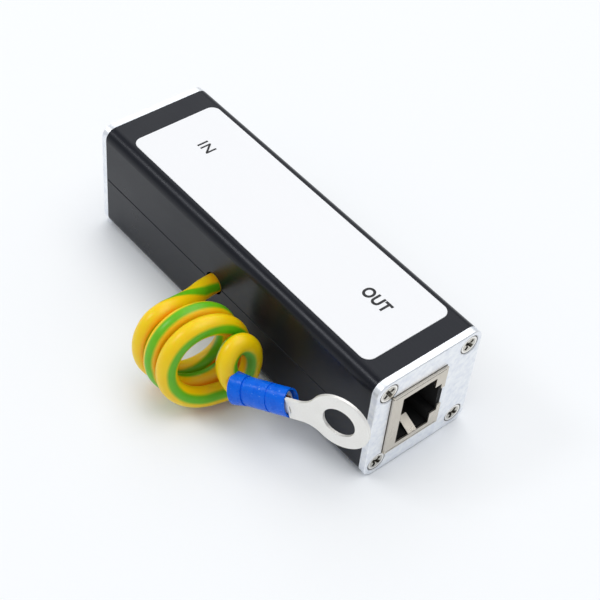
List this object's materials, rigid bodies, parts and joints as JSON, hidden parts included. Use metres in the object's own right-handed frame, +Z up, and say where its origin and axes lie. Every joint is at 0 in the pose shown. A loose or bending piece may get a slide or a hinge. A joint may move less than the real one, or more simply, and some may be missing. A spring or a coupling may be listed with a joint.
{
  "type": "ethernet surge protector",
  "caption": "Inline surge protector for a network cable: a split square aluminium housing with a shielded jack in each end plate and a coiled earth lead with a ring terminal.",
  "frame": {"origin": "middle of the housing's bottom face", "axes": "+X along the housing from the IN end to the OUT end, +Z up towards the label, -Y out of the side where the earth lead leaves"},
  "size_m": [0.0858, 0.0469, 0.0251],
  "materials": {
    "black_anodised": "satin black anodised",
    "plate_aluminium": "fine blasted",
    "screw_steel": "nickel plated",
    "label_film": "matt white",
    "board_laminate": "solder mask",
    "shield_sheet": "nickel plated sheet",
    "insert_plastic": "moulded",
    "contact_gold": "gold plated",
    "tube_ceramic": "white ceramic with metal bands",
    "case_plastic": "moulded epoxy",
    "wire_insulation": "yellow with a green stripe",
    "copper": "bare copper",
    "solder": "bright tin",
    "terminal_tin": "tinned",
    "sleeve_plastic": "blue vinyl"
  },
  "bodies": {
    "root": {"housing_lower": "black_anodised", "housing_upper": "black_anodised", "end_plate_in": "plate_aluminium", "end_plate_out": "plate_aluminium", "end_screws_in": "screw_steel", "end_screws_out": "screw_steel", "label": "label_film", "circuit_board": "board_laminate", "jack_shield_in": "shield_sheet", "jack_shield_out": "shield_sheet", "jack_insert_in": "insert_plastic", "jack_insert_out": "insert_plastic", "jack_contacts_in": "contact_gold", "jack_contacts_out": "contact_gold", "gas_tube_1": "tube_ceramic", "gas_tube_2": "tube_ceramic", "gas_tube_3": "tube_ceramic", "gas_tube_4": "tube_ceramic", "rectifier_bridge_1": "case_plastic", "rectifier_bridge_2": "case_plastic", "rectifier_bridge_3": "case_plastic", "rectifier_bridge_4": "case_plastic", "surge_clamp_1": "case_plastic", "surge_clamp_2": "case_plastic", "surge_clamp_3": "case_plastic", "surge_clamp_4": "case_plastic", "earth_wire_inner": "wire_insulation", "earth_wire_core": "copper", "earth_solder_joint": "solder", "earth_wire_lead": "wire_insulation", "earth_wire_coil": "wire_insulation", "earth_wire_tail": "wire_insulation", "copper_strands": "copper", "ring_terminal": "terminal_tin", "terminal_sleeve": "sleeve_plastic"}
  },
  "joints": []
}
